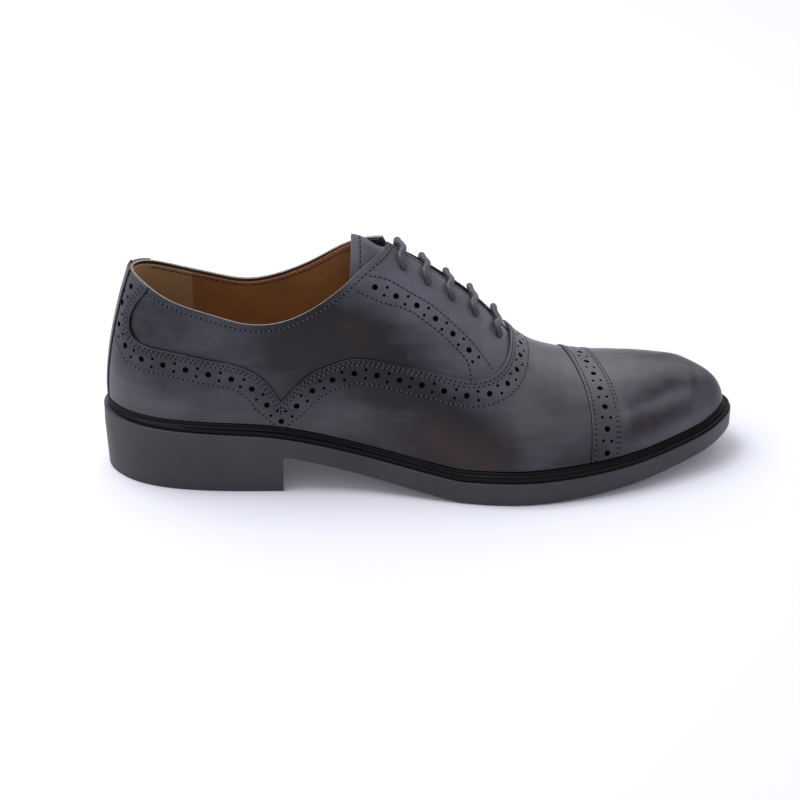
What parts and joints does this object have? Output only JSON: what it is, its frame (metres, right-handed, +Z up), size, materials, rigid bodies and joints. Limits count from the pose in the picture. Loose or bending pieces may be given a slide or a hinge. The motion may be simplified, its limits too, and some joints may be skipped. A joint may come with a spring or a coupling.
{
  "type": "brogue shoe",
  "caption": "Low closed-lacing dress shoe for the right foot with a cap toe, perforated seams, black welt, low heel and straight lace bars, hollow and open at the collar.",
  "frame": {"origin": "centre of the sole's plan box, on the floor that the shoe stands on", "axes": "+X from the heel towards the toe, +Y towards the inner side of the foot, +Z up"},
  "size_m": [0.302, 0.107, 0.1157],
  "materials": {
    "polished_leather": "polished, burnished dark grey",
    "lining_leather": "matte natural leather",
    "sole_edge": "semi-matte dark grey",
    "welt_black": "glossy black",
    "waxed_lace": "waxed cord"
  },
  "bodies": {
    "root": {"outsole": "sole_edge", "heel": "sole_edge", "insole": "lining_leather", "welt": "welt_black", "upper": "polished_leather", "galosh": "polished_leather", "toe_cap": "polished_leather", "back_strip": "polished_leather", "tongue": "polished_leather", "lace_bar_1": "waxed_lace", "lace_bar_2": "waxed_lace", "lace_bar_3": "waxed_lace", "lace_bar_4": "waxed_lace", "lace_bar_5": "waxed_lace"}
  },
  "joints": []
}
